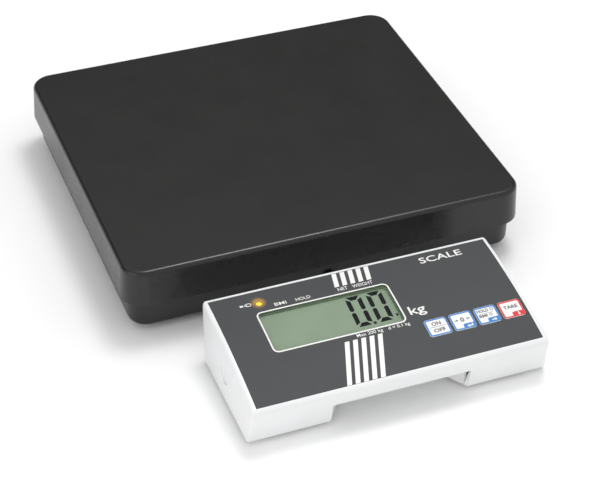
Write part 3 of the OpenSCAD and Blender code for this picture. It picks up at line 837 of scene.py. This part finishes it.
class SCALE_OT_beam(bpy.types.Operator):
    """Makes the load cell's beam bend at its window as the platform sinks"""
    # Copies the load cell with extra cuts across its beam about the window, in place of the CAD part

    bl_idname = "scale.beam"
    bl_label = "Bending beam"

    def execute(self, context):
        centre = middle("load_cell")
        reach = 28 * MM
        bm = bmesh.new()
        bm.from_mesh(frame["nodes"]["load_cell"].data)
        bmesh.ops.remove_doubles(bm, verts=bm.verts, dist=0.001 * MM)
        for i in range(-4, 5):
            bmesh.ops.bisect_plane(bm, geom=bm.verts[:] + bm.edges[:] + bm.faces[:],
                                   plane_co=(centre.x + reach * i / 4, 0, 0), plane_no=(1, 0, 0))
        smooth_by_angle(bm)
        mesh = bpy.data.meshes.new("load_cell_beam")
        bm.to_mesh(mesh)
        bm.free()
        beam = bpy.data.objects.new("load_cell_beam", mesh)
        context.scene.collection.objects.link(beam)
        slot = slot_of("load_cell")
        mesh.materials.clear()
        mesh.materials.append(FINISHES[slot])
        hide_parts("load_cell")
        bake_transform(beam)
        return {"FINISHED"}


class SCALE_OT_printing(bpy.types.Operator):
    """Prints the window's outline, the stripes and the plain legends on the overlay"""

    bl_idname = "scale.printing"
    bl_label = "Panel printing"

    def execute(self, context):
        white = ink_finish("white_ink", (0.84, 0.84, 0.82))
        ink = looks().print_t
        low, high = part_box("lcd_window")
        centre = (low + high) / 2
        width, length = high.x - low.x, high.y - low.y

        def at(x, y, lift):
            """Place on the panel, measured from the window's centre."""
            return on_panel(centre.x + x, centre.y + y, lift)

        def border(grow, radius):
            return round_outline(width + 2 * grow, length + 2 * grow, radius)

        ring = (border(0.35 * MM, 4.3 * MM), border(-0.75 * MM, 3.2 * MM))
        ring = [self.finely(loop) for loop in ring]
        new_piece("window_outline", flat_solid([ring], at, 0, ink), "display", white)

        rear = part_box("keypad_overlay")[1].y - 0.3 * MM - centre.y
        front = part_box("keypad_overlay")[0].y + 0.3 * MM - centre.y
        stripes = []
        for i in range(5):
            stripes.append(stripe((15.3 + 6 * i) * MM, 3.4 * MM, rear, 26 * MM, 0.2, at, 0, ink))
            stripes.append(stripe((-0.1 + 6 * i) * MM, 3.4 * MM, -24 * MM, front, 0.34, at, 0, ink))
        new_piece("stripes", joined(stripes, "stripes"), "display", white)

        words = (
            ("BMI", -28.4, 23.2, 8.6, 3.0),
            ("HOLD", -12.0, 23.1, 10.6, 3.0),
            ("NET", 17.3, 23.2, 7.2, 3.0),
            ("WEIGHT", 32.0, 23.1, 15.0, 3.1),
            ("kg", 58.2, -12.3, 11.8, 9.8),
            ("Max 200 kg", 19.3, -21.6, 18.9, 3.6),
            ("d = 0.1 kg", 40.7, -21.6, 15.7, 3.6),
            ("SCALE", 95.0, 32.4, 32.0, 6.0),
        )
        meshes = []
        for body, x, y, wide, tall in words:
            weight = 0.01 if tall > 5 else 0.004
            meshes.append(lettering(body, x * MM, y * MM, wide * MM, tall * MM, at, 0, ink, weight))
        lamp = middle("indicator_led") - centre
        meshes.append(self.plug_mark(at, lamp, ink))
        new_piece("legends", joined(meshes, "legends"), "display", white)
        return {"FINISHED"}

    def finely(self, loop):
        """Adds points along an outline's straights, so that it can bend with the panel."""
        fine = []
        for a, b in zip(loop, loop[1:] + loop[:1]):
            cuts = max(1, int(math.hypot(b[0] - a[0], b[1] - a[1]) / (4 * MM)))
            fine += [(a[0] + (b[0] - a[0]) * i / cuts, a[1] + (b[1] - a[1]) * i / cuts) for i in range(cuts)]
        return fine

    def plug_mark(self, at, lamp, ink):
        """A small mains plug with its lead, to the left of the lamp."""
        body = millimetres((-9.0, -1.5), (-6.0, -1.5), (-5.2, 0), (-6.0, 1.5), (-9.0, 1.5))
        hollow = millimetres((-8.5, -1.0), (-6.3, -1.0), (-5.7, 0), (-6.3, 1.0), (-8.5, 1.0))
        shapes = [
            (moved(body, lamp.x, lamp.y), moved(hollow, lamp.x, lamp.y)),
            moved(millimetres((-10.4, 0.4), (-9.0, 0.4), (-9.0, 0.9), (-10.4, 0.9)), lamp.x, lamp.y),
            moved(millimetres((-10.4, -0.9), (-9.0, -0.9), (-9.0, -0.4), (-10.4, -0.4)), lamp.x, lamp.y),
            moved(millimetres((-13.6, -0.8), (-11.2, -0.8), (-11.2, 0.8), (-13.6, 0.8)), lamp.x, lamp.y),
        ]
        return flat_solid(shapes, at, 0, ink)


class SCALE_OT_keys(bpy.types.Operator):
    """Prints the four keys' borders, corner tabs and legends"""

    bl_idname = "scale.keys"
    bl_label = "Key printing"

    def execute(self, context):
        blue = ink_finish("blue_ink", looks().ink_blue)
        red = ink_finish("red_ink", looks().ink_red)
        grey = ink_finish("grey_ink", (0.12, 0.12, 0.125))
        white = ink_finish("key_white_ink", (0.84, 0.84, 0.84))
        rule = ((-5.6, 0.05), (5.6, 0.05), (5.6, 0.45), (-5.6, 0.45))
        self.key("key_on_off", blue, grey, white, None,
                 (("ON", -0.2, 3.0, 6.8, 3.3), ("OFF", 0.2, -2.9, 8.8, 3.3)), (rule,))
        arrow = self.arrow(0)
        pointers = ([(x * 0.7 - 4.3, y * 0.95 + 1.0) for x, y in arrow],
                    [(4.3 - x * 0.7, y * 0.95 + 1.0) for x, y in arrow][::-1])
        self.key("key_zero", blue, grey, white, self.enter_mark(), (("0", 0, 1.0, 2.9, 4.0),), pointers)
        rule = ((-6.2, 1.35), (5.0, 1.35), (5.0, 1.65), (-6.2, 1.65))
        self.key("key_hold", blue, grey, white, self.arrow(0),
                 (("HOLD", -1.9, 4.0, 8.8, 2.7), ("BMI", -3.0, -0.4, 6.2, 2.5)), (rule,), self.badges())
        self.key("key_tare", red, grey, white, self.arrow(-90), (("TARE", -0.1, 1.8, 10.6, 3.0),), ())
        return {"FINISHED"}

    def key(self, node, ink, text_ink, tab_ink, mark, words, shapes, rings=()):
        """All the printing on one key, as pieces that ride on it."""
        place = on_face(node)
        low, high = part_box(node)
        width = high.x - low.x
        length = (high.y - low.y) / math.cos(panel_slope((high.y + low.y) / 2))
        t = looks().print_t
        border = (round_outline(width - 0.2 * MM, length - 0.5 * MM, 1.8 * MM),
                  round_outline(width - 2.6 * MM, length - 2.9 * MM, 1.0 * MM))
        layers = [flat_solid([border], place, 0, t)]
        if mark:
            tab = round_outline(9.2 * MM, 4.3 * MM, 1.3 * MM)
            x, y = width / 2 - 4.75 * MM, -length / 2 + 2.45 * MM
            layers.append(flat_solid([moved(tab, x, y)], place, 0, t * 1.5))
            marks = flat_solid([moved(millimetres(*mark), x, y)], place, t * 1.5, t * 2.2)
            new_piece(node + "_mark", marks, node, tab_ink)
        new_piece(node + "_border", joined(layers, node + "_border"), node, ink)
        layers = [lettering(body, x * MM, y * MM, w * MM, h * MM, place, 0, t, 0.035)
                  for body, x, y, w, h in words]
        if shapes:
            layers.append(flat_solid([millimetres(*shape) for shape in shapes], place, 0, t))
        if rings:
            layers.append(flat_solid(rings, place, 0, t))
        new_piece(node + "_legend", joined(layers, node + "_legend"), node, text_ink)

    def arrow(self, turn):
        """A short arrow turned by some degrees from pointing right."""
        points = ((-2.0, -0.4), (0.3, -0.4), (0.3, -1.2), (2.0, 0), (0.3, 1.2), (0.3, 0.4), (-2.0, 0.4))
        c, s = math.cos(math.radians(turn)), math.sin(math.radians(turn))
        size = 1.0 if turn == 0 else 0.85
        return [((x * c - y * s) * size, (x * s + y * c) * size) for x, y in points]

    def enter_mark(self):
        """An arrow that comes down and points left."""
        return ((2.2, 1.4), (1.4, 1.4), (1.4, 0.1), (-0.4, 0.1), (-0.4, 0.9), (-2.2, -0.3),
                (-0.4, -1.5), (-0.4, -0.7), (2.2, -0.7))

    def badges(self):
        """Two small rings after the hold key's words."""
        return [(moved(round_outline(s * MM, s * MM, s / 2.02 * MM), x * MM, y * MM),
                 moved(round_outline((s - 0.9) * MM, (s - 0.9) * MM, (s - 0.9) / 2.02 * MM), x * MM, y * MM))
                for x, y, s in ((4.9, 4.3, 2.6), (2.6, -0.3, 2.4))]


class SCALE_OT_reading(bpy.types.Operator):
    """Sets the liquid crystal's dark segments to zero point zero"""

    bl_idname = "scale.reading"
    bl_label = "Reading"

    def execute(self, context):
        dark = Finish("lcd_segment", (0.007, 0.006, 0.01), 0.35, Specular_IOR_Level=0.08)
        dark.mottle(0.004, 0.3).uneven(0.003, 0.3, 0.42).grain(0.0005, 0.00001, 0.2)
        face = on_face("lcd_panel")
        shapes = []
        for left in (15.6, 30.9):
            shapes += [moved(segment, left * MM, -12.3 * MM) for segment in self.zero(11.6, 28.6, 3.5)]
        shapes.append(moved(round_outline(2.3 * MM, 2.2 * MM, 1.0 * MM), 27.6 * MM, -11.6 * MM))
        shapes.append(millimetres((44.2, -7.1), (46.3, -9.1), (44.2, -10.6)))
        t = 0.06 * MM
        new_piece("reading", flat_solid(shapes, face, 0, t), "display", dark.material)
        return {"FINISHED"}

    def zero(self, width, height, bar):
        """The six segments of a zero, lower left corner at (0, 0)."""
        gap = 0.35
        half = height / 2
        slim = bar * 0.92
        rising = [(0, bar * 0.6), (slim, bar + 0.5), (slim, half - bar * 0.45), (slim / 2, half - gap),
                  (0, half - bar * 0.45)]
        lower = [(bar * 0.35, 0), (width - bar * 0.35, 0), (width - bar - gap, bar), (bar + gap, bar)]
        shapes = [lower, [(x, height - y) for x, y in lower][::-1]]
        for outline in (rising, [(width - x, y) for x, y in rising][::-1]):
            shapes.append(outline)
            shapes.append([(x, height - y) for x, y in outline][::-1])
        return [millimetres(*[(x - 0.9 + y * 0.035, y) for x, y in shape]) for shape in shapes]


class SCALE_PT_panel(bpy.types.Panel):
    """Lists the steps that dress the scale"""

    bl_label = "Floor scale"
    bl_idname = "SCALE_PT_panel"
    bl_space_type = "VIEW_3D"
    bl_region_type = "UI"
    bl_category = "Floor scale"

    def draw(self, context):
        for step in STEPS:
            self.layout.operator(step.bl_idname)
        for group in (studio(), looks()):
            for name in group.__annotations__:
                self.layout.prop(group, name)


STEPS = (SCALE_OT_studio, SCALE_OT_finishes, SCALE_OT_housing, SCALE_OT_beam,
         SCALE_OT_printing, SCALE_OT_keys, SCALE_OT_reading)
CLASSES = (StudioSettings, ScaleSettings, *STEPS, SCALE_PT_panel)


def register():
    for cls in CLASSES:
        bpy.utils.register_class(cls)
    bpy.types.Scene.scale_studio = bpy.props.PointerProperty(type=StudioSettings)
    bpy.types.Scene.scale_looks = bpy.props.PointerProperty(type=ScaleSettings)


def unregister():
    del bpy.types.Scene.scale_looks
    del bpy.types.Scene.scale_studio
    for cls in reversed(CLASSES):
        bpy.utils.unregister_class(cls)


def main():
    register()
    for step in STEPS:
        getattr(bpy.ops.scale, step.bl_idname.split(".")[1])()


if __name__ == "__main__":
    main()
